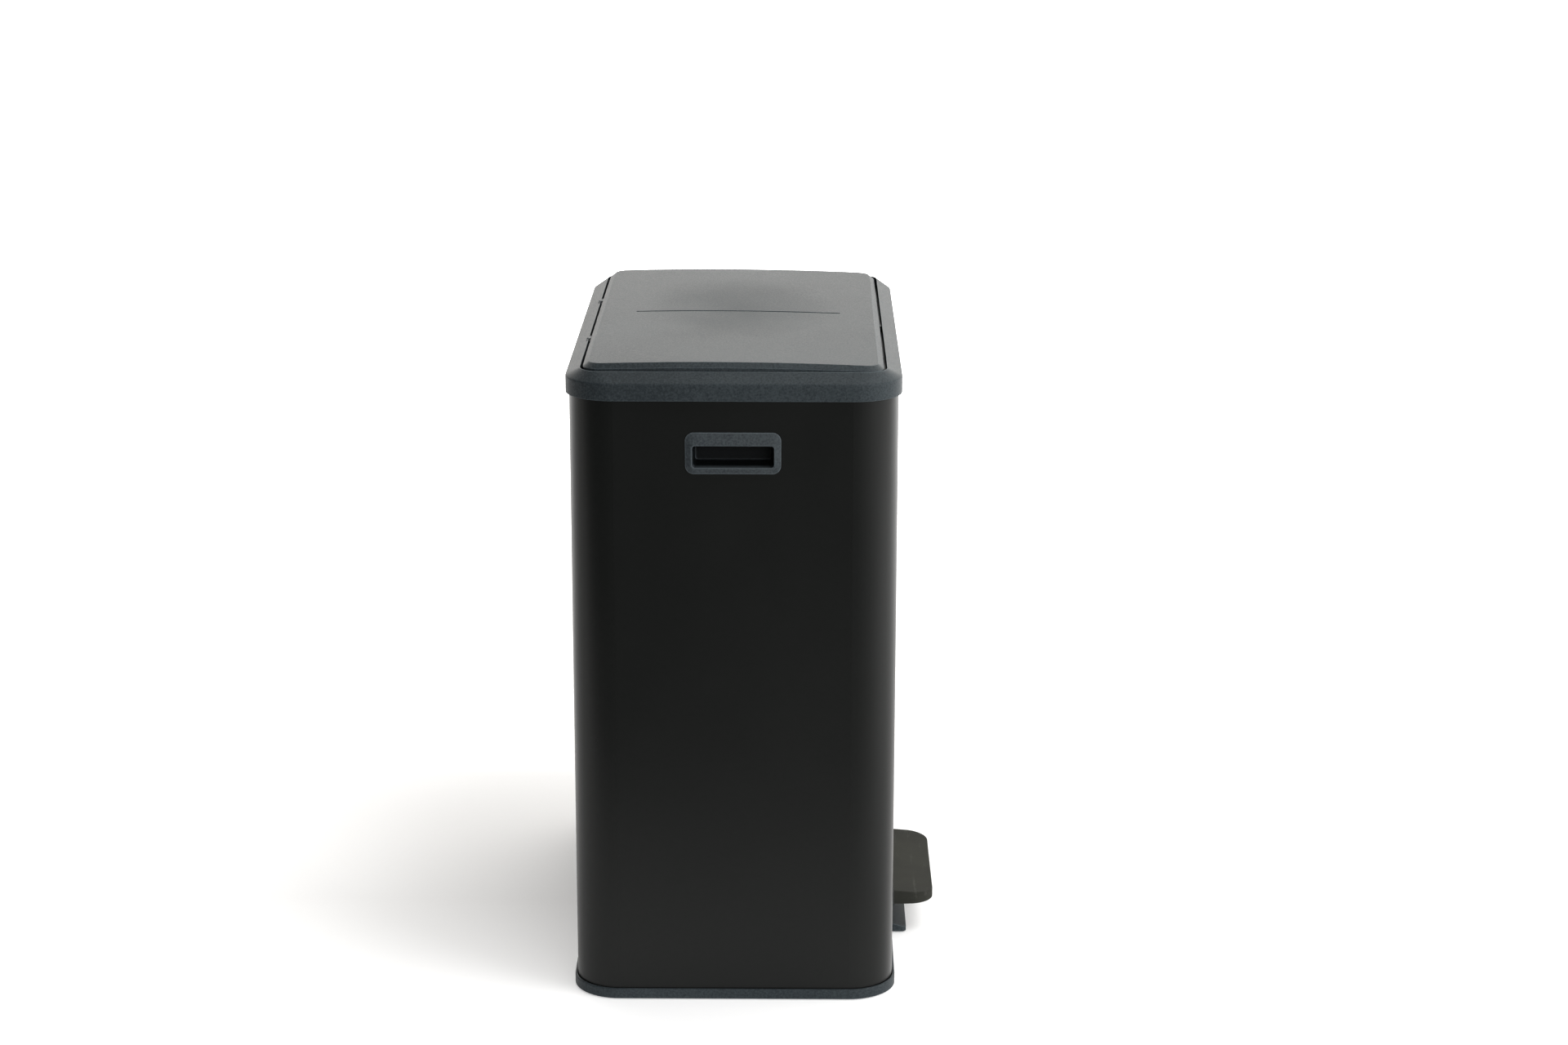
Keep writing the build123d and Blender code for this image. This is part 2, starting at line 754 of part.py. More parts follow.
def make_pedal_lever():
    """Folded steel channel, open below, bent at the axle."""
    rear_y = rod_y + 7
    top_line = [(-206, 43.4), (-172, 46.2), (-150, 48.3), (pivot_y, 49.5), (rear_y, rod_bottom_z + 6)]
    bottom_line = [(rear_y, rod_bottom_z - 6), (pivot_y, 36.5), (-150, 37.0), (-206, 36.6)]
    inner_top = [(y, z - lever_sheet) for y, z in top_line]
    with BuildPart() as lever:
        with BuildSketch(side(-lever_half_width)):
            with BuildLine():
                Polyline(*top_line, *bottom_line, close=True)
            make_face()
        extrude(amount=2 * lever_half_width)
        with BuildSketch(side(-lever_half_width + lever_sheet)):
            with BuildLine():
                Polyline((-230, inner_top[0][1]), *inner_top, (160, 30), (160, 0), (-230, 0), close=True)
            make_face()
        extrude(amount=2 * (lever_half_width - lever_sheet), mode=Mode.SUBTRACT)
        # holes for the axle and for the push rod's lower hook
        with BuildSketch(side(-lever_half_width)):
            with Locations((pivot_y, pivot_z)):
                Circle(axle_radius + press)
            with Locations((rod_y - 0.4, rod_bottom_z)):
                SlotCenterToCenter(1.4, 2 * (rod_radius + 0.45))
        extrude(amount=2 * lever_half_width, mode=Mode.SUBTRACT)
    save(lever.part, "pedal_lever")


def make_pedal_axle():
    half = lug_inner_x + lug_thickness + 3.5
    with BuildPart() as axle:
        with BuildSketch(side(-half)):
            with Locations((pivot_y, pivot_z)):
                Circle(axle_radius)
        extrude(amount=2 * half)
        chamfer(axle.edges(), 0.5)
    save(axle.part, "pedal_axle")


def make_axle_clips():
    start = lug_inner_x + lug_thickness + part_gap
    with BuildPart() as clips:
        for x_sign in (-1, 1):
            with BuildSketch(side(x_sign * start)):
                with Locations((pivot_y, pivot_z)):
                    Circle(6)
                    Circle(axle_radius + press, mode=Mode.SUBTRACT)
                with Locations((pivot_y, pivot_z - 6)):
                    Rectangle(3.2, 8, mode=Mode.SUBTRACT)
            extrude(amount=x_sign * 1.0)
    save(clips.part, "axle_clips")


# ================================================================ push rod
def make_push_rod():
    """Round wire with both ends bent towards the middle: one hooks the lever, one the crank."""
    y = body_y + rod_y
    with BuildPart() as rod:
        with BuildLine():
            path = FilletPolyline(
                (rod_tip_x, y, rod_bottom_z),
                (rod_x, y, rod_bottom_z),
                (rod_x, y, rod_top_z),
                (-6, y, rod_top_z),
                radius=rod_bend,
            )
        with BuildSketch(Plane(origin=path @ 0, z_dir=path % 0)):
            Circle(rod_radius)
        sweep()
    save(rod.part, "push_rod")


def make_rod_nuts():
    """Push-on caps that keep the hooks in the lever and the crank."""
    with BuildPart() as nuts:
        with BuildSketch(side(rod_tip_x + 2.2)):
            with Locations((rod_y, rod_bottom_z)):
                Circle(nut_radius)
                Circle(rod_radius + press, mode=Mode.SUBTRACT)
        extrude(amount=-nut_thickness)
        with BuildSketch(side(-crank_half_width - 0.6)):
            with Locations((rod_y, rod_top_z)):
                Circle(nut_radius)
                Circle(rod_radius + press, mode=Mode.SUBTRACT)
        extrude(amount=-nut_thickness)
    save(nuts.part, "rod_nuts")


def make_rod_guides():
    """Snap-in blocks on the back wall that keep the rod upright."""
    with BuildPart() as guides:
        for z in guide_bottoms:
            with BuildSketch(level(z)):
                span(rod_x - 7, rod_x + 7, rod_y - 5.5, wall_y - 2, 3)
                with Locations((rod_x, wall_y - 1)):
                    Rectangle(46, 2)
                with Locations((rod_x, rod_y)):
                    Circle(rod_radius + running, mode=Mode.SUBTRACT)
                with Locations((rod_x, rod_y - 4)):
                    Rectangle(4.4, 8, mode=Mode.SUBTRACT)
            extrude(amount=guide_height)
            for x_sign in (-1, 1):
                with BuildSketch(facing(wall_y)):
                    with Locations((rod_x + x_sign * guide_rivet_x, z + guide_height / 2)):
                        Circle(rivet_radius + press)
                extrude(amount=6, mode=Mode.SUBTRACT)
    save(guides.part, "rod_guides")


def rivet_places():
    """Across and up the back wall: two at each rod guide, two at the damper's bracket."""
    sides = (-guide_rivet_x, guide_rivet_x)
    places = [(rod_x + dx, z + guide_height / 2) for z in guide_bottoms for dx in sides]
    places += [(damper_x + dx, bracket_z) for dx in (-bracket_rivet_x, bracket_rivet_x)]
    return places


def make_wall_rivets():
    with BuildPart() as rivets:
        for x, z in rivet_places():
            with BuildSketch(facing(wall_y - 2)):
                with Locations((x, z)):
                    Circle(rivet_head_radius - 0.8)
            extrude(amount=1.0)
            with BuildSketch(facing(wall_y - 2)):
                with Locations((x, z)):
                    Circle(rivet_radius)
            extrude(amount=-2 - sheet)
            with BuildSketch(facing(half_depth)):
                with Locations((x, z)):
                    Circle(rivet_head_radius)
            extrude(amount=-1.2)
        fillet(rivets.edges().group_by(Axis.Y)[-1], 0.7)
    save(rivets.part, "wall_rivets")


# ================================================================ damper
def make_damper_cylinder():
    with BuildPart() as cylinder:
        with BuildSketch(level(damper_bottom_z)):
            with Locations((damper_x, damper_y)):
                Circle(damper_radius)
        extrude(amount=damper_top_z - damper_bottom_z)
        with BuildSketch(level(damper_bottom_z + 3)):
            with Locations((damper_x, damper_y)):
                Circle(damper_bore)
        extrude(amount=damper_top_z, mode=Mode.SUBTRACT)
        fillet(cylinder.edges().group_by(Axis.Z)[0], 1.2)
    save(cylinder.part, "damper_cylinder")


def make_damper_cap():
    with BuildPart() as cap:
        with BuildSketch(level(damper_top_z)):
            with Locations((damper_x, damper_y)):
                Circle(damper_radius + 1)
        extrude(amount=4)
        fillet(cap.edges().group_by(Axis.Z)[-1], 1.0)
        with BuildSketch(level(damper_top_z - 4)):
            with Locations((damper_x, damper_y)):
                Circle(damper_bore - press)
        extrude(amount=4)
        with BuildSketch(level(damper_top_z - 5)):
            with Locations((damper_x, damper_y)):
                Circle(damper_rod_radius + running)
        extrude(amount=12, mode=Mode.SUBTRACT)
    save(cap.part, "damper_cap")


def make_damper_piston():
    with BuildPart() as piston:
        with BuildSketch(level(damper_bottom_z + 6)):
            with Locations((damper_x, damper_y)):
                Circle(damper_bore - running)
        extrude(amount=8)
        chamfer(piston.edges(), 0.5)
        with BuildSketch(level(damper_bottom_z + 10)):
            with Locations((damper_x, damper_y)):
                Circle(damper_rod_radius)
        extrude(amount=yoke_z + yoke_thickness + 3 - damper_bottom_z - 10)
    save(piston.part, "damper_piston")


def make_damper_bracket():
    """Two bands around the cylinder on one plate against the back wall."""
    plate_y = wall_y - 2
    with BuildPart() as bracket:
        with BuildSketch(facing(wall_y)):
            with Locations((damper_x, bracket_z)):
                RectangleRounded(48, 56, 4)
        extrude(amount=2)
        for z in band_bottoms:
            with BuildSketch(level(z)):
                with Locations((damper_x, damper_y)):
                    Circle(damper_radius + 2)
                span(damper_x - 5, damper_x + 5, damper_y, plate_y + 0.5, 0.2)
                with Locations((damper_x, damper_y)):
                    Circle(damper_radius + press, mode=Mode.SUBTRACT)
            extrude(amount=band_height)
        for dx in (-bracket_rivet_x, bracket_rivet_x):
            with BuildSketch(facing(wall_y)):
                with Locations((damper_x + dx, bracket_z)):
                    Circle(rivet_radius + press)
            extrude(amount=6, mode=Mode.SUBTRACT)
    save(bracket.part, "damper_bracket")


def make_damper_yoke():
    """Link that carries the damper's piston with the push rod."""
    with BuildPart() as yoke:
        with BuildSketch(level(yoke_z)):
            with Locations((rod_x, rod_y)):
                Circle(7)
            with Locations((damper_x, damper_y)):
                Circle(6)
            make_hull()
            with Locations((rod_x, rod_y)):
                Circle(rod_radius + press, mode=Mode.SUBTRACT)
            with Locations((damper_x, damper_y)):
                Circle(damper_rod_radius + press, mode=Mode.SUBTRACT)
        extrude(amount=yoke_thickness)
    save(yoke.part, "damper_yoke")


# ================================================================ buckets
def bucket_solid(grow, bottom_z, top_z, radius):
    """A block with the bucket's tapered sides, right-hand bucket, grown outwards by grow."""
    rise = bucket_top_z - bucket_bottom_z
    with BuildPart() as block:
        for z in (bottom_z, top_z):
            pull = bucket_taper * (bucket_top_z - z) / rise - grow
            with BuildSketch(level(z)):
                span(
                    bucket_inner_x + pull,
                    bucket_outer_x - pull,
                    bucket_front + pull,
                    bucket_back - pull,
                    radius,
                )
        loft()
    return block.part


def make_bucket(x_sign, name):
    outer = bucket_solid(0, bucket_bottom_z, bucket_top_z, bucket_corner)
    inner = bucket_solid(-bucket_wall, bucket_bottom_z + 2.8, bucket_top_z + 5, bucket_corner - bucket_wall)
    with BuildPart() as bucket:
        add(outer)
        fillet(bucket.edges().group_by(Axis.Z)[0], 5)
        # flat rim with a turned-down edge
        with BuildSketch(level(bucket_top_z)):
            span(
                bucket_inner_x - bucket_rim,
                bucket_outer_x + bucket_rim,
                bucket_front - bucket_rim,
                bucket_back + bucket_rim,
                bucket_corner + bucket_rim,
            )
        extrude(amount=-bucket_wall)
        with BuildSketch(level(bucket_top_z)):
            span(
                bucket_inner_x - bucket_rim,
                bucket_outer_x + bucket_rim,
                bucket_front - bucket_rim,
                bucket_back + bucket_rim,
                bucket_corner + bucket_rim,
            )
            span(
                bucket_inner_x - bucket_rim + 2,
                bucket_outer_x + bucket_rim - 2,
                bucket_front - bucket_rim + 2,
                bucket_back + bucket_rim - 2,
                bucket_corner + bucket_rim - 2,
                mode=Mode.SUBTRACT,
            )
        extrude(amount=-bucket_rim_height)
        fillet(bucket.edges().group_by(Axis.Z)[-1], 1.2)
        add(inner, mode=Mode.SUBTRACT)
        # finger slots through the front and back walls, under the rim
        middle_x = (bucket_inner_x + bucket_outer_x) / 2
        with BuildSketch(facing(bucket_front - 20)):
            with Locations((middle_x, bucket_top_z - finger_slot_drop)):
                SlotOverall(*finger_slot)
        extrude(amount=-300, mode=Mode.SUBTRACT)
        if x_sign < 0:
            mirror(about=Plane.YZ, mode=Mode.REPLACE)
    save(bucket.part, name)


# ================================================================ build
make_base_tray()
make_foot_pads()
make_body_shell()
make_lever_grommet()
make_handle_cup(-1, "handle_cup_left")
make_handle_cup(1, "handle_cup_right")
make_top_collar()
make_lid_buffers()
make_lid_shell()
make_hinge_pins()
make_lid_liner()
make_lid_screws()
make_lid_crank()
make_crank_screws()
make_pedal_tread()
make_pedal_lever()
make_pedal_axle()
make_axle_clips()
make_push_rod()
make_rod_nuts()
make_rod_guides()
make_wall_rivets()
make_damper_cylinder()
make_damper_cap()
make_damper_piston()
make_damper_bracket()
make_damper_yoke()
make_bucket(-1, "bucket_left")
make_bucket(1, "bucket_right")
print(f"body_y {body_y:.4f}")
print(f"hinge y {body_y + hinge_y:.4f} z {hinge_z:.4f}")
print(f"pivot y {body_y + pivot_y:.4f} z {pivot_z:.4f}")
print(f"rod travel {rod_travel:.4f}, per radian of lid {rod_travel / radians(lid_angle):.4f}")
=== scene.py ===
"""Looks of the pedal bin: materials for every CAD node, a pale studio and the camera. Metres."""

import math

import bpy
from mathutils import Matrix, Vector


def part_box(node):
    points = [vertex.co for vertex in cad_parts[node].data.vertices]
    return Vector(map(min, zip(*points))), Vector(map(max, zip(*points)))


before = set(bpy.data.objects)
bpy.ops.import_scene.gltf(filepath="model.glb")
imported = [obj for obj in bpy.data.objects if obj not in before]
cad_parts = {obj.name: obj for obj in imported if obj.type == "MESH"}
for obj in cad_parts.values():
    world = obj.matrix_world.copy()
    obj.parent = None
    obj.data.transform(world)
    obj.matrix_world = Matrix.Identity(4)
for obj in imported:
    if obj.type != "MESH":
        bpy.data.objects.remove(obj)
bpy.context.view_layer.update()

shell_low, shell_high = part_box("body_shell")
body_centre = (shell_low + shell_high) / 2  # the body's vertical axis passes through it
body_y = body_centre.y


# ---------------------------------------------------------------- node helpers
class Shader:
    """A new material with small helpers that add and join nodes."""

    def __init__(self, name):
        self.material = bpy.data.materials.new(name)
        self.material.use_nodes = True
        self.tree = self.material.node_tree
        self.bsdf = self.tree.nodes["Principled BSDF"]
        self.coords = self.tree.nodes.new("ShaderNodeTexCoord").outputs["Object"]

    def set(self, **values):
        for socket, value in values.items():
            self.bsdf.inputs[socket.replace("_", " ")].default_value = value

    def plug(self, source, target):
        self.tree.links.new(source, target)

    def node(self, kind, **settings):
        made = self.tree.nodes.new(kind)
        for key, value in settings.items():
            setattr(made, key, value)
        return made

    def stretched(self, scale):
        """Object coordinates, scaled differently along each axis."""
        mapping = self.node("ShaderNodeMapping")
        mapping.inputs["Scale"].default_value = scale
        self.plug(self.coords, mapping.inputs["Vector"])
        return mapping.outputs["Vector"]

    def noise(self, scale, detail=3.0, roughness=0.5, vector=None):
        made = self.node("ShaderNodeTexNoise")
        made.inputs["Scale"].default_value = scale
        made.inputs["Detail"].default_value = detail
        made.inputs["Roughness"].default_value = roughness
        self.plug(vector or self.coords, made.inputs["Vector"])
        return made.outputs["Fac"]

    def cells(self, scale, vector=None):
        made = self.node("ShaderNodeTexVoronoi")
        made.inputs["Scale"].default_value = scale
        self.plug(vector or self.coords, made.inputs["Vector"])
        return made.outputs["Distance"]

    def span(self, source, from_low, from_high, to_low, to_high):
        """source, mapped from one range to another and clamped."""
        made = self.node("ShaderNodeMapRange")
        made.inputs["From Min"].default_value = from_low
        made.inputs["From Max"].default_value = from_high
        made.inputs["To Min"].default_value = to_low
        made.inputs["To Max"].default_value = to_high
        self.plug(source, made.inputs["Value"])
        return made.outputs["Result"]

    def math(self, operation, first, second):
        made = self.node("ShaderNodeMath", operation=operation)
        for socket, value in zip(made.inputs, (first, second)):
            if isinstance(value, (int, float)):
                socket.default_value = value
            else:
                self.plug(value, socket)
        return made.outputs["Value"]

    def mix(self, factor, first, second):
        """A colour between two colours, each a tuple or a socket."""
        made = self.node("ShaderNodeMix", data_type="RGBA")
        self.plug(factor, made.inputs["Factor"])
        for name, value in (("A", first), ("B", second)):
            socket = [s for s in made.inputs if s.name == name and s.type == "RGBA"][0]
            if isinstance(value, tuple):
                socket.default_value = (*value, 1.0)
            else:
                self.plug(value, socket)
        return [s for s in made.outputs if s.type == "RGBA"][0]

    def bump(self, height, distance, strength=1.0, after=None):
        made = self.node("ShaderNodeBump")
        made.inputs["Strength"].default_value = strength
        made.inputs["Distance"].default_value = distance
        self.plug(height, made.inputs["Height"])
        if after:
            self.plug(after, made.inputs["Normal"])
        return made.outputs["Normal"]

    def length(self):
        """Distance from the origin of the object coordinates."""
        made = self.node("ShaderNodeVectorMath", operation="LENGTH")
        self.plug(self.coords, made.inputs[0])
        return made.outputs["Value"]

    def axes(self):
        """Object coordinates along X and Y."""
        apart = self.node("ShaderNodeSeparateXYZ")
        self.plug(self.coords, apart.inputs[0])
        return apart.outputs["X"], apart.outputs["Y"]

    def rounded(self, radius):
        """Normals that turn smoothly over sharp edges."""
        bevel = self.node("ShaderNodeBevel")
        bevel.inputs["Radius"].default_value = radius
        return bevel.outputs["Normal"]

    def edge_highlight_mask(self, radius):
        """1 on edges, 0 on flat faces; it places the painted edge highlights."""
        geometry = self.node("ShaderNodeNewGeometry")
        dot = self.node("ShaderNodeVectorMath", operation="DOT_PRODUCT")
        self.plug(self.rounded(radius), dot.inputs[0])
        self.plug(geometry.outputs["Normal"], dot.inputs[1])
        return self.span(dot.outputs["Value"], 0.98, 0.86, 0.0, 1.0)

    def patch(self, middle, reach):
        """1 at a place on the object, falling softly and unevenly to 0 at the reach along each axis."""
        mapping = self.node("ShaderNodeMapping")
        mapping.inputs["Scale"].default_value = tuple(1.0 / r for r in reach)
        mapping.inputs["Location"].default_value = tuple(-m / r for m, r in zip(middle, reach))
        self.plug(self.coords, mapping.inputs["Vector"])
        length = self.node("ShaderNodeVectorMath", operation="LENGTH")
        self.plug(mapping.outputs["Vector"], length.inputs[0])
        ragged = self.math("ADD", length.outputs["Value"], self.math("MULTIPLY", self.noise(14.0), 0.8))
        return self.span(ragged, 0.5, 1.4, 1.0, 0.0)

    def colour(self, source):
        self.plug(source, self.bsdf.inputs["Base Color"])

    def roughness(self, source):
        self.plug(source, self.bsdf.inputs["Roughness"])

    def normal(self, source):
        self.plug(source, self.bsdf.inputs["Normal"])


# ---------------------------------------------------------------- materials
def powder_coat():
    """Matt black powder coat: fine orange peel, faint drifts in gloss, a few dust specks."""
    s = Shader("powder_coat")
    drift = s.noise(3.5, 3.0, 0.55)
    wipe = s.noise(9.0, 4.0, 0.6, s.stretched((1.0, 1.0, 0.25)))
    peel = s.noise(1400.0, 2.0, 0.5)
    dust = s.span(s.cells(95.0), 0.035, 0.02, 0.0, 1.0)
    dust = s.math("MULTIPLY", dust, s.span(s.noise(14.0, 2.0), 0.62, 0.7, 0.0, 0.5))
    base = s.mix(s.span(drift, 0.3, 0.7, 0.0, 1.0), (0.0050, 0.0056, 0.0052), (0.0070, 0.0076, 0.0071))
    s.colour(s.mix(dust, base, (0.10, 0.10, 0.095)))
    s.roughness(s.span(s.math("ADD", drift, s.math("MULTIPLY", wipe, 0.6)), 0.5, 1.1, 0.27, 0.35))
    s.normal(s.bump(peel, 0.00003, 0.6, s.rounded(0.0004)))
    s.set(IOR=1.5, Specular_IOR_Level=0.17)
    return s.material


def grained_plastic(name, tones, grain=900.0, depth=0.00014, edge_highlight_width=0.0013, handled=None, recess=None):
    """Moulded plastic with a fine spark-eroded grain, so that its glints break up.

    tones are a dark and a light colour and the least and greatest roughness. edge_highlight_width is the
    width of the paler edges, a painted highlight. handled is the middle of a patch that hands have rubbed
    and greased.
    recess is the distance from the bin's middle within which the plastic is painted dark as shade, inside
    the handle cups."""
    dark, light, rough_low, rough_high = tones
    s = Shader(name)
    fine = s.noise(grain, 2.5, 0.62)
    coarse = s.noise(grain * 0.55, 2.0, 0.6)
    cloud = s.noise(6.0, 3.0, 0.5)
    height = s.math("ADD", fine, s.math("MULTIPLY", coarse, 0.8))
    tone = s.math("ADD", s.math("MULTIPLY", cloud, 0.25), s.math("MULTIPLY", fine, 0.2))
    tone = s.math("ADD", tone, s.math("MULTIPLY", coarse, 0.55))
    base = s.mix(s.span(tone, 0.4, 0.6, 0.0, 1.0), dark, light)
    # Painted shade: within the handle cups the plastic is painted near black, 0.15 times its dark tone.
    if recess:
        x, _ = s.axes()
        inside = s.span(s.math("ABSOLUTE", x, 0.0), recess - 0.004, recess, 1.0, 0.0)
        base = s.mix(inside, base, tuple(0.15 * c for c in dark))
    # Painted highlight: the edges are painted pale, up to 2.8 times the light tone.
    s.colour(s.mix(s.math("MULTIPLY", s.edge_highlight_mask(edge_highlight_width), 0.7), base, tuple(2.8 * c for c in light)))
    rough = s.span(s.math("ADD", fine, coarse), 0.8, 1.2, rough_low, rough_high)
    if handled:
        rough = s.math("ADD", rough, s.math("MULTIPLY", s.patch(handled, (0.17, 0.11, 0.05)), 0.08))
    s.roughness(rough)
    s.normal(s.bump(height, depth, 0.8, s.rounded(0.0008)))
    s.set(IOR=1.5, Specular_IOR_Level=0.11)
    return s.material


def pedal_coat():
    """Satin olive-grey coating on pressed steel, with faint foot scuffs."""
    s = Shader("pedal_coat")
    cloud = s.noise(18.0, 3.0, 0.55)
    peel = s.noise(1100.0, 2.0, 0.5)
    scuff = s.noise(60.0, 5.0, 0.65, s.stretched((0.25, 2.2, 1.0)))
    scuff = s.span(scuff, 0.6, 0.72, 0.0, 0.35)
    base = s.mix(s.span(cloud, 0.35, 0.65, 0.0, 1.0), (0.028, 0.0284, 0.0246), (0.037, 0.0376, 0.0322))
    base = s.mix(scuff, base, (0.085, 0.084, 0.075))
    # Painted highlight: the pedal's edges are painted pale.
    s.colour(s.mix(s.math("MULTIPLY", s.edge_highlight_mask(0.0007), 0.6), base, (0.17, 0.17, 0.16)))
    s.roughness(s.math("ADD", s.span(cloud, 0.3, 0.7, 0.66, 0.76), s.math("MULTIPLY", scuff, 0.2)))
    s.normal(s.bump(peel, 0.00002, 0.5, s.rounded(0.0006)))
    s.set(IOR=1.5, Specular_IOR_Level=0.03)
    return s.material


def zinc_steel():
    """Zinc-plated steel with drawing lines and dull patches."""
    s = Shader("zinc_steel")
    lines = s.noise(900.0, 3.0, 0.6, s.stretched((1.0, 1.0, 0.05)))
    patches = s.noise(45.0, 3.0, 0.6)
    base = s.mix(s.span(patches, 0.35, 0.65, 0.0, 1.0), (0.42, 0.43, 0.45), (0.58, 0.585, 0.59))
    s.colour(base)
    s.roughness(s.math("ADD", s.span(patches, 0.3, 0.7, 0.28, 0.42), s.math("MULTIPLY", lines, 0.1)))
    s.normal(s.bump(lines, 0.00002, 0.5))
    s.set(Metallic=1.0)
    return s.material


def satin_aluminium():
    """Turned aluminium: fine rings round the upright axis."""
    s = Shader("satin_aluminium")
    rings = s.noise(1.0, 2.0, 0.5, s.stretched((40.0, 40.0, 2600.0)))
    stain = s.noise(70.0, 3.0, 0.6)
    s.colour(s.mix(s.span(stain, 0.35, 0.7, 0.0, 1.0), (0.62, 0.63, 0.65), (0.5, 0.51, 0.53)))
    s.roughness(s.span(rings, 0.3, 0.7, 0.26, 0.38))
    s.normal(s.bump(rings, 0.00002, 0.6))
    s.set(Metallic=1.0)
    return s.material


def soft_rubber():
    """Matt black rubber with a dusty bloom."""
    s = Shader("soft_rubber")
    bloom = s.noise(120.0, 4.0, 0.6)
    grain = s.noise(1600.0, 2.0, 0.5)
    s.colour(s.mix(s.span(bloom, 0.4, 0.7, 0.0, 1.0), (0.014, 0.014, 0.014), (0.03, 0.03, 0.029)))
    s.roughness(s.span(bloom, 0.3, 0.7, 0.7, 0.85))
    s.normal(s.bump(grain, 0.00004, 0.6))
    return s.material


coat = powder_coat()
slate_tones = (0.0190, 0.0245, 0.0280), (0.0385, 0.0480, 0.0530), 0.40, 0.54
slate = grained_plastic("slate_plastic", slate_tones)
lid_low, lid_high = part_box("lid_shell")
lid_middle = ((lid_low.x + lid_high.x) / 2 + 0.02, body_y, lid_high.z)
lid_slate = grained_plastic("lid_plastic", slate_tones, handled=lid_middle)
# Painted light: the handle cups are the slate plastic in paler tones, for the light their bezels catch;
# their painted edge highlight is wider.
lit_cup_tones = (0.0245, 0.0302, 0.0345), (0.0505, 0.0600, 0.0655), 0.40, 0.54
cup_slate = grained_plastic("cup_plastic", lit_cup_tones, edge_highlight_width=0.0020, recess=shell_high.x - 0.002)
black_tones = (0.016, 0.016, 0.017), (0.024, 0.024, 0.026), 0.42, 0.55
plain = grained_plastic("black_plastic", black_tones, grain=700.0)
bucket_tones = (0.060, 0.064, 0.069), (0.075, 0.079, 0.085), 0.40, 0.55
bucket = grained_plastic("bucket_plastic", bucket_tones, grain=500.0, depth=0.00008)
pedal = pedal_coat()
zinc = zinc_steel()
aluminium = satin_aluminium()
rubber = soft_rubber()

finish_of = {
    "base_tray": slate,
    "foot_pads": rubber,
    "body_shell": coat,
    "lever_grommet": plain,
    "handle_cup_left": cup_slate,
    "handle_cup_right": cup_slate,
    "top_collar": slate,
    "lid_buffers": rubber,
    "lid_shell": lid_slate,
    "hinge_pins": zinc,
    "lid_liner": plain,
    "lid_screws": zinc,
    "lid_crank": plain,
    "crank_screws": zinc,
    "pedal_tread": pedal,
    "pedal_lever": zinc,
    "pedal_axle": zinc,
    "axle_clips": zinc,
    "push_rod": zinc,
    "rod_nuts": zinc,
    "rod_guides": plain,
    "wall_rivets": coat,
    "damper_cylinder": aluminium,
    "damper_cap": plain,
    "damper_piston": aluminium,
    "damper_bracket": plain,
    "damper_yoke": plain,
    "bucket_left": bucket,
    "bucket_right": bucket,
}
for node, material in finish_of.items():
    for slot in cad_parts[node].material_slots:
        slot.material = material


# ---------------------------------------------------------------- studio
def make_floor():
    """White paper without a horizon. Its own light depends on who looks: the camera sees plain white all
    round, while the bin is mirrored in a floor that is grey on its left and bright behind it."""
    mesh = bpy.data.meshes.new("floor")
    reach = 24.0
    corners = [(-reach, -reach, 0), (reach, -reach, 0), (reach, reach, 0), (-reach, reach, 0)]
    mesh.from_pydata(corners, [], [(0, 1, 2, 3)])
    floor = bpy.data.objects.new("floor", mesh)
    bpy.context.scene.collection.objects.link(floor)
    s = Shader("paper")
    fibre = s.noise(220.0, 4.0, 0.6)
    x, y = s.axes()
    seen = s.node("ShaderNodeLightPath").outputs["Is Camera Ray"]
    mirrored = s.math("SUBTRACT", 1.0, seen)
    paper = s.mix(fibre, (0.76, 0.76, 0.76), (0.79, 0.79, 0.79))
    # Painted reflection: for every ray but the camera's, the floor in front of the bin is grey (0.15)
    # instead of white, so the bin mirrors a dark floor there.
    grey = s.math("MULTIPLY", s.span(x, -0.45, -1.3, 0.0, 1.0), mirrored)
    s.colour(s.mix(grey, paper, (0.15, 0.15, 0.15)))
    s.set(Roughness=0.75, Specular_IOR_Level=0.2)
    s.set(Emission_Color=(1.0, 1.0, 1.0, 1.0))
    # Painted shadow: the floor's glow falls from 0.41 in front of the bin to 0.20 from its middle
    # backwards, deepening the bin's shadow.
    glow_dimmed_for_shadow = s.span(x, -0.3, 0.0, 0.41, 0.20)
    behind = s.span(x, 0.4, 2.0, 0.0, 1.1)
    around = s.span(s.length(), 1.3, 2.4, 0.0, 1.1)
    # Painted reflection: a glow beyond the bin's side at Y below -0.7, fading towards the camera, seen
    # only by rays other than the camera's.
    reflected_glow_beside = s.math("SUBTRACT", s.span(y, -0.7, -1.9, 0.0, 0.9), s.span(x, -0.5, -1.0, 0.0, 0.41))
    glow = s.math("ADD", s.math("MULTIPLY", around, seen), s.math("MULTIPLY", reflected_glow_beside, mirrored))
    glow = s.math("ADD", s.math("ADD", glow_dimmed_for_shadow, behind), glow)
    s.plug(glow, s.bsdf.inputs["Emission Strength"])
    mesh.materials.append(s.material)


def area_light(name, place, target, size, watts, spread=180.0):
    """A white panel of size (wide, high) that faces the target."""
    data = bpy.data.lights.new(name, "AREA")
    data.shape = "RECTANGLE"
    data.size, data.size_y = size
    data.energy = watts
    data.spread = math.radians(spread)
    lamp = bpy.data.objects.new(name, data)
    lamp.location = place
    lamp.rotation_mode = "QUATERNION"
    lamp.rotation_quaternion = (Vector(target) - Vector(place)).to_track_quat("-Z", "Y")
    bpy.context.scene.collection.objects.link(lamp)


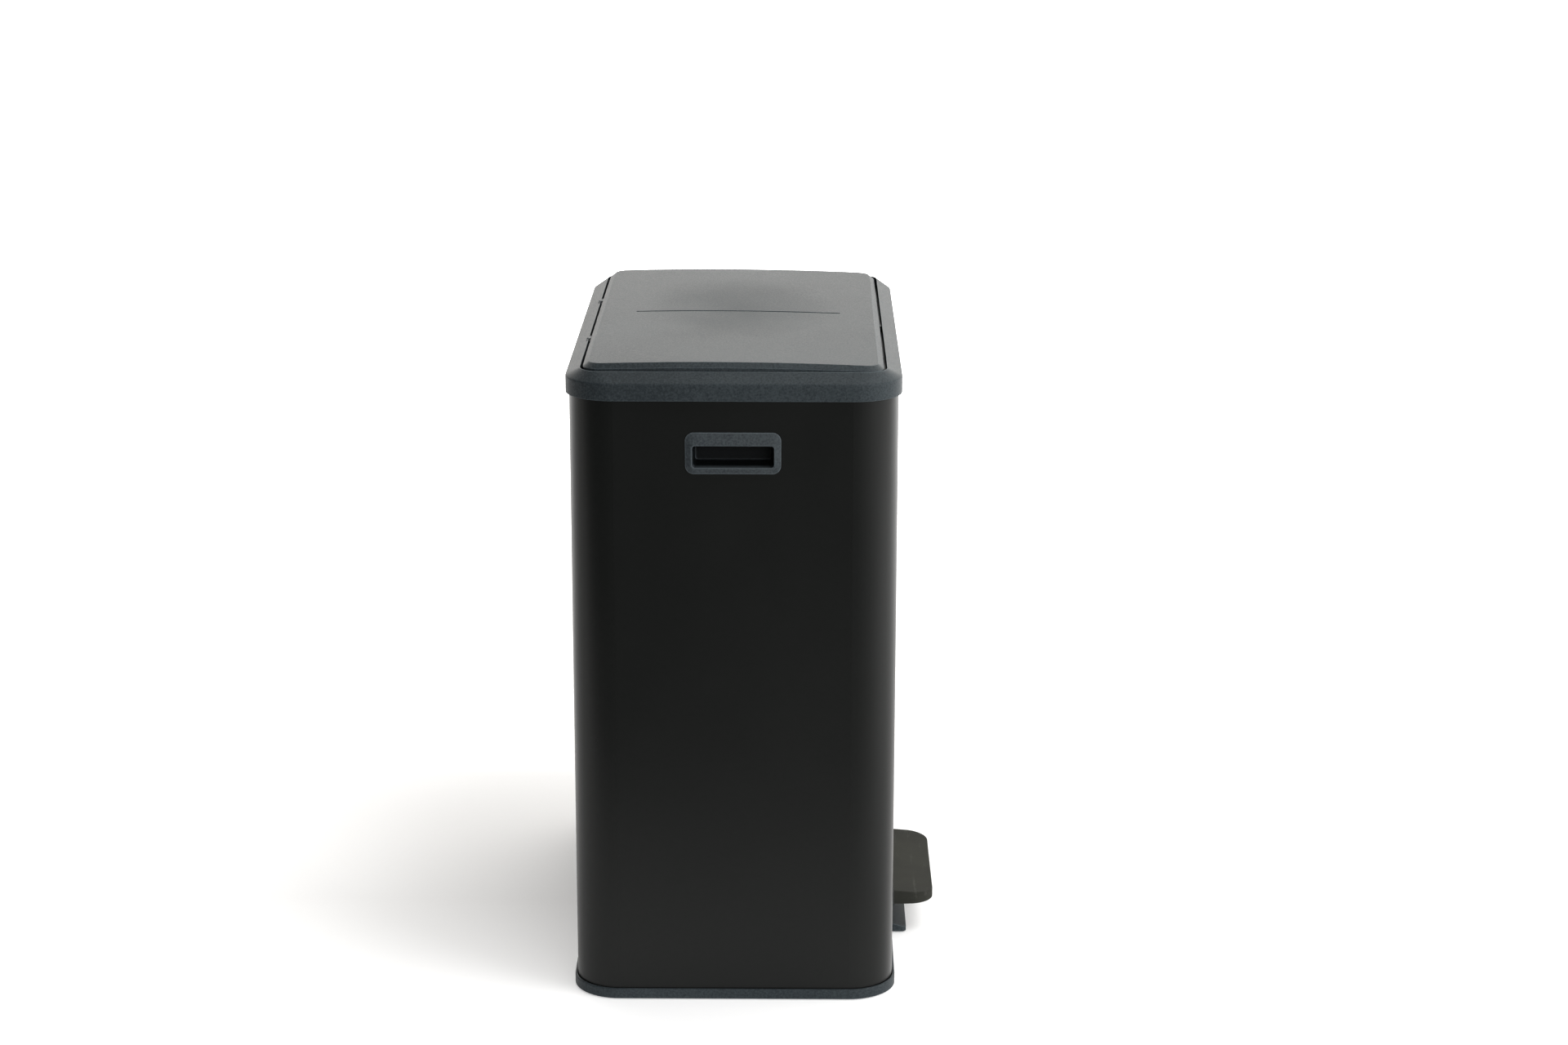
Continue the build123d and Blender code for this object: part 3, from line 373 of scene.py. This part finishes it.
def make_world():
    """White surroundings. What the bin mirrors falls to near black on its left."""
    world = bpy.data.worlds.new("studio")
    world.use_nodes = True
    tree = world.node_tree
    background = tree.nodes["Background"]
    coords = tree.nodes.new("ShaderNodeTexCoord")
    towards = tree.nodes.new("ShaderNodeVectorMath")
    towards.operation = "DOT_PRODUCT"
    towards.inputs[1].default_value = (0.95, -0.31, 0.0)
    tree.links.new(coords.outputs["Generated"], towards.inputs[0])
    ramp = tree.nodes.new("ShaderNodeMapRange")
    ramp.interpolation_type = "SMOOTHSTEP"
    ramp.inputs["From Min"].default_value = -0.1
    ramp.inputs["From Max"].default_value = 0.85
    ramp.inputs["To Min"].default_value = 0.04
    ramp.inputs["To Max"].default_value = 2.75
    tree.links.new(towards.outputs["Value"], ramp.inputs["Value"])
    path = tree.nodes.new("ShaderNodeLightPath")
    strength = tree.nodes.new("ShaderNodeMath")
    strength.operation = "MULTIPLY_ADD"
    tree.links.new(path.outputs["Is Camera Ray"], strength.inputs[0])
    strength.inputs[1].default_value = 1.1
    tree.links.new(ramp.outputs["Result"], strength.inputs[2])
    tree.links.new(strength.outputs["Value"], background.inputs["Strength"])
    background.inputs["Color"].default_value = (1.0, 0.978, 0.945, 1.0)
    bpy.context.scene.world = world


make_floor()
make_world()
area_light("key", (-1.0, -2.4, 5.4), (0.0, body_y, 0.3), (2.8, 2.8), 16.0, 45.0)
area_light("side", (-1.5, -2.5, 1.1), (0.0, body_y, 0.45), (1.8, 1.8), 24.0)
area_light("fill", (-4.3, -1.5, 1.8), (0.0, body_y, 0.5), (3.2, 1.4), 45.0, 120.0)


# ---------------------------------------------------------------- camera
def make_camera():
    """A camera off the bin's left side, level with twice the bin's height, looking slightly down."""
    place = Vector((-3.2418, body_y - 0.0652, 1.3258))
    pitch = math.radians(15.29)
    yaw = 0.0049
    roll = 0.0025
    forward = Vector((math.cos(pitch) * math.cos(yaw), math.cos(pitch) * math.sin(yaw), -math.sin(pitch)))
    right = Vector((math.sin(yaw), -math.cos(yaw), 0.0))
    right = (right + roll * right.cross(forward)).normalized()
    up = right.cross(forward)
    data = bpy.data.cameras.new("camera")
    data.sensor_width = 36.0
    data.lens = 71.03
    data.clip_start = 0.05
    data.clip_end = 100.0
    camera = bpy.data.objects.new("camera", data)
    turn = Matrix((right, up, -forward)).transposed().to_4x4()
    camera.matrix_world = Matrix.Translation(place) @ turn
    bpy.context.scene.collection.objects.link(camera)
    bpy.context.scene.camera = camera


make_camera()
bpy.context.scene.view_settings.view_transform = "Standard"
